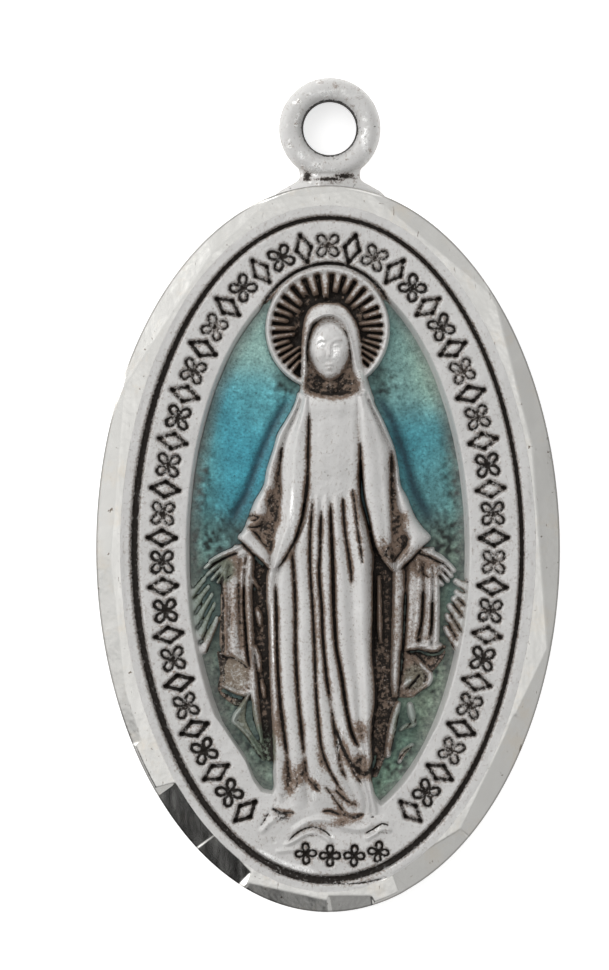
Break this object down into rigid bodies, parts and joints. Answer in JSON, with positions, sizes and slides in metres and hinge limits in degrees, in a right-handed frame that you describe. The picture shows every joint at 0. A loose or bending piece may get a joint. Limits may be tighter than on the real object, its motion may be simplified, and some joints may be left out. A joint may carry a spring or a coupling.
{
  "type": "religious medal pendant",
  "caption": "Oval religious medal worn on a cord or chain: a robed figure under a rayed halo in relief, enamel in the sunk field, an ornament band, a bright-cut rim and a hanging ring.",
  "frame": {"origin": "middle of the oval, on the flat back", "axes": "+Y from the figure's feet to its head and the hanging ring, +X to the right as the face is seen, +Z out of the face"},
  "size_m": [0.015, 0.027, 0.0023],
  "materials": {
    "silver": "satin silver, bright-cut rim, dark patina in the sunk places",
    "enamel": "translucent blue-green enamel, smooth and slightly uneven"
  },
  "bodies": {
    "root": {"medal": "silver", "enamel_left": "enamel", "enamel_right": "enamel"}
  },
  "joints": []
}
